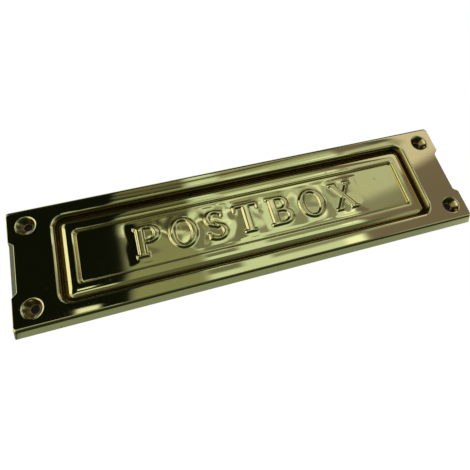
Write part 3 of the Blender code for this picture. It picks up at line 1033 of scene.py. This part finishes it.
def solder_hinge(side_name):
    """Solder down both sides of a leaf, on the flap's flange, and along both sides of a bracket's foot."""
    low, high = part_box("flap_hinge_" + side_name)
    flange_back = FACE_Y + FLANGE_DEPTH + FLAP_SHEET
    for place, x in (("inner", low.x), ("outer", high.x)):
        ends = [(x, flange_back + 0.1 * MM, z) for z in (FLAP_HIGH.z - 0.5 * MM, APERTURE_HALF_Z + 0.1 * MM)]
        solder_bead(f"leaf_solder_{place}_{side_name}", *ends, SOLDER_RADIUS, "flap", "zinc_steel")
    low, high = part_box("rod_bracket_" + side_name)
    sheet_back = FACE_Y + SHEET
    for place, z in (("lower", low.z), ("upper", high.z)):
        ends = [(x, sheet_back + 0.15 * MM, z) for x in (low.x + 0.3 * MM, high.x - 0.3 * MM)]
        solder_bead(f"bracket_solder_{place}_{side_name}", *ends, SOLDER_RADIUS, "plate", "zinc_steel")


add_piece(refined("rod", "hinge_rod"), ROD_STEEL, "plate", "rod_steel", "hinge_rod")
for side_name, side in (("left", -1), ("right", 1)):
    leaf = refined("leaf_" + side_name, "flap_hinge_" + side_name)
    add_piece(leaf, ZINC, "flap", "zinc_steel", "flap_hinge_" + side_name)
    bracket = refined("bracket_" + side_name, "rod_bracket_" + side_name)
    add_piece(bracket, ZINC, "plate", "zinc_steel", "rod_bracket_" + side_name)
    make_clip(side_name, side)
    make_spring(side_name, side)
    solder_hinge(side_name)


# ---------------------------------------------------------------- camera and light

CAMERA_PLACE = Vector((-40.2 * MM, FACE_Y - 165.4 * MM, -61.7 * MM))
CAMERA_AIM = Vector((0.15786, 0.94222, 0.29546))
CAMERA_UP = Vector((0.22811, -0.32591, 0.91747))
CAMERA_TIP = 0.0030
FOCAL_SHARE = 0.6983


def make_camera():
    data = bpy.data.cameras.new("camera")
    data.sensor_width = 36.0
    data.lens = data.sensor_width * FOCAL_SHARE
    data.clip_start = 0.01
    camera = bpy.data.objects.new("camera", data)
    bpy.context.scene.collection.objects.link(camera)
    right = CAMERA_AIM.cross(CAMERA_UP).normalized()
    up = right.cross(CAMERA_AIM).normalized()
    back = -(CAMERA_AIM.normalized() + CAMERA_TIP * up).normalized()
    up = right.cross(-back)
    turn = Matrix((right, up, back)).transposed()
    camera.matrix_world = Matrix.Translation(CAMERA_PLACE) @ turn.to_4x4()
    bpy.context.scene.camera = camera


make_camera()

world = bpy.data.worlds.new("studio")
bpy.context.scene.world = world
world.use_nodes = True
nodes = world.node_tree.nodes
links = world.node_tree.links
nodes.clear()


def node(kind, **values):
    made = nodes.new(kind)
    for name, value in values.items():
        setattr(made, name, value)
    return made


def math_node(operation, first, second=None):
    made = node("ShaderNodeMath", operation=operation)
    for socket, value in zip(made.inputs, (first, second)):
        if value is None:
            continue
        if isinstance(value, (int, float)):
            socket.default_value = value
        else:
            links.new(value, socket)
    return made.outputs[0]


coords = node("ShaderNodeTexCoord")
split = node("ShaderNodeSeparateXYZ")
links.new(coords.outputs["Generated"], split.inputs[0])
front = math_node("MULTIPLY", split.outputs[1], -1.0)
azimuth = math_node("MULTIPLY", math_node("ARCTAN2", split.outputs[0], front), 180.0 / math.pi)
elevation = math_node("MULTIPLY", math_node("ARCSINE", split.outputs[2]), 180.0 / math.pi)


def ramp(value, low, high):
    made = node("ShaderNodeMapRange", interpolation_type="SMOOTHSTEP")
    links.new(value, made.inputs["Value"])
    made.inputs["From Min"].default_value = low
    made.inputs["From Max"].default_value = high
    return made.outputs[0]


def window(az, el, soft):
    """A soft-edged patch of the surroundings between two azimuths and two elevations."""
    sides = [
        ramp(azimuth, az[0] - soft, az[0] + soft),
        math_node("SUBTRACT", 1.0, ramp(azimuth, az[1] - soft, az[1] + soft)),
        ramp(elevation, el[0] - soft, el[0] + soft),
        math_node("SUBTRACT", 1.0, ramp(elevation, el[1] - soft, el[1] + soft)),
    ]
    mask = sides[0]
    for side in sides[1:]:
        mask = math_node("MULTIPLY", mask, side)
    return mask


# (azimuths, elevations, softness of the edge, colour), painted in this order; degrees, 0 to the front
PATCHES = [
    # the room
    ((-200, 200), (-100, 100), 1.0, (0.42, 0.45, 0.42)),
    # behind the plate: a large soft box high up, a darker one low down
    ((-200, -125), (-10, 60), 12.0, (0.85, 0.88, 0.85)),
    ((125, 200), (-10, 60), 12.0, (0.55, 0.57, 0.55)),
    ((-200, 200), (-100, -36), 4.0, (0.24, 0.28, 0.24)),
    ((-138, 104), (-100, -30), 4.0, (0.02, 0.025, 0.015)),
    # low front light and dark ceiling
    ((-118, 118), (-30, -3), 3.0, (0.30, 0.33, 0.28)),
    ((-30, 36), (-34, -3), 3.0, (0.11, 0.12, 0.085)),
    ((-118, 118), (42, 85), 4.0, (0.02, 0.024, 0.018)),
    # the left wall, warm, and the dark behind it
    ((-150, -110), (-28, 42), 5.0, (0.14, 0.16, 0.15)),
    ((-110, -38), (-28, 42), 5.0, (0.80, 0.80, 0.67)),
    ((-90, -26), (2, 26), 3.0, (1.10, 1.08, 0.92)),
    # the right, dark
    ((60, 128), (-6, 45), 6.0, (0.04, 0.046, 0.055)),
    # olive middle left
    ((-10.5, 5.0), (-6, 17.5), 1.0, (0.26, 0.28, 0.18)),
    ((-10.5, 5.0), (17.5, 45), 1.2, (0.16, 0.16, 0.10)),
    # the key light and what stands before it
    ((3.2, 31.0), (-6, 45), 1.2, (0.68, 0.80, 0.72)),
    ((3.2, 9.5), (12.6, 24), 0.8, (0.19, 0.20, 0.15)),
    ((14.8, 31.5), (12.8, 18.3), 0.9, (0.27, 0.28, 0.24)),
    ((18.8, 31.5), (18.3, 24), 0.8, (0.40, 0.46, 0.42)),
    ((9.0, 31.5), (24.6, 45), 1.0, (0.34, 0.36, 0.26)),
    ((27.5, 30.5), (6, 12.4), 0.8, (1.1, 1.2, 1.1)),
    ((-12, 33), (27.2, 28.8), 0.5, (0.07, 0.07, 0.05)),
    ((-12, 33), (21.4, 23.0), 0.5, (0.85, 0.95, 0.85)),
    ((-12, 2.5), (24.2, 26.0), 0.6, (0.04, 0.05, 0.03)),
    # brown right
    ((30.8, 62.0), (-6, 45), 0.8, (0.19, 0.155, 0.15)),
    ((31.5, 39.5), (12.8, 15.5), 0.8, (0.27, 0.27, 0.24)),
    ((31.5, 39.5), (15.5, 22.5), 1.0, (0.52, 0.56, 0.50)),
    ((36.8, 40.3), (22.5, 45), 0.7, (0.09, 0.10, 0.09)),
    ((40.3, 62.0), (17.4, 45), 1.0, (0.72, 0.66, 0.66)),
    # the black flag, a low strip of light under it and a small bright spot before it
    ((-32.0, -10.2), (-4, 45), 1.0, (0.005, 0.0065, 0.004)),
    ((-60, -12), (-12, -5), 0.8, (0.75, 0.8, 0.65)),
    ((-18.8, -15.4), (4.0, 11.6), 0.5, (0.9, 1.0, 0.86)),
]
colour = None
for az, el, soft, value in PATCHES:
    rgb = node("ShaderNodeMix", data_type="RGBA")
    links.new(window(az, el, soft), rgb.inputs["Factor"])
    if colour is None:
        rgb.inputs["A"].default_value = (*value, 1.0)
    else:
        links.new(colour, rgb.inputs["A"])
    rgb.inputs["B"].default_value = (*value, 1.0)
    colour = rgb.outputs["Result"]

backdrop = node("ShaderNodeBackground")
backdrop.inputs["Color"].default_value = (1.0, 1.0, 1.0, 1.0)
studio = node("ShaderNodeBackground")
links.new(colour, studio.inputs["Color"])
path = node("ShaderNodeLightPath")
pick = node("ShaderNodeMixShader")
links.new(path.outputs["Is Camera Ray"], pick.inputs[0])
links.new(studio.outputs[0], pick.inputs[1])
links.new(backdrop.outputs[0], pick.inputs[2])
out = node("ShaderNodeOutputWorld")
links.new(pick.outputs[0], out.inputs["Surface"])
bpy.context.scene.view_settings.view_transform = "Standard"

FLOOR_Z = -160.0 * MM
FLOOR_GLOW = 1.0
FLOOR_HALF = 1500.0 * MM
BOARD_INNER_X = 110.6 * MM
BOARD_TUCK = 0.6 * MM


def plane(name, x, y, z):
    """A flat stage piece; y or z has only one value."""
    corners = [(a, b, c) for a in x for b in y for c in z]
    mesh = bpy.data.meshes.new(name)
    mesh.from_pydata(corners, [], [(0, 2, 3, 1)])
    obj = bpy.data.objects.new(name, mesh)
    bpy.context.scene.collection.objects.link(obj)
    return obj


floor = plane("floor", (-FLOOR_HALF, FLOOR_HALF), (-FLOOR_HALF, FLOOR_HALF), (FLOOR_Z,))
paper = bpy.data.materials.new("white_paper")
paper.use_nodes = True
paper_shader = paper.node_tree.nodes["Principled BSDF"]
paper_shader.inputs["Base Color"].default_value = (0.9, 0.9, 0.9, 1.0)
paper_shader.inputs["Roughness"].default_value = 0.9
paper_shader.inputs["Emission Color"].default_value = (1.0, 1.0, 1.0, 1.0)
paper_shader.inputs["Emission Strength"].default_value = FLOOR_GLOW
floor.data.materials.append(paper)
floor.visible_glossy = False
floor.visible_diffuse = False

# painted shade: a near-black plane behind the plate's ends, seen only as far as the screw holes show it,
# standing in for the plate's shadow on the surface it lies on; unseen from behind
shade_board_material = bpy.data.materials.new("board")
shade_board_material.use_nodes = True
board_nodes = shade_board_material.node_tree.nodes
board_shader = board_nodes["Principled BSDF"]
# near-black: the painted shadow of the plate
board_shader.inputs["Base Color"].default_value = (0.03, 0.03, 0.04, 1.0)
board_shader.inputs["Roughness"].default_value = 0.8
geometry = board_nodes.new("ShaderNodeNewGeometry")
clear = board_nodes.new("ShaderNodeBsdfTransparent")
one_sided = board_nodes.new("ShaderNodeMixShader")
board_links = shade_board_material.node_tree.links
board_links.new(geometry.outputs["Backfacing"], one_sided.inputs[0])
board_links.new(board_shader.outputs[0], one_sided.inputs[1])
board_links.new(clear.outputs[0], one_sided.inputs[2])
board_links.new(one_sided.outputs[0], board_nodes["Material Output"].inputs["Surface"])
for side in (-1, 1):
    span = sorted((side * BOARD_INNER_X, side * (FACE_HALF_X + BOARD_TUCK)))
    board = plane("board_left" if side < 0 else "board_right", span, (0.0,), (-FACE_HALF_Z, FACE_HALF_Z))
    board.data.materials.append(shade_board_material)
    board.visible_glossy = False
    board.visible_diffuse = False
    board.visible_shadow = False
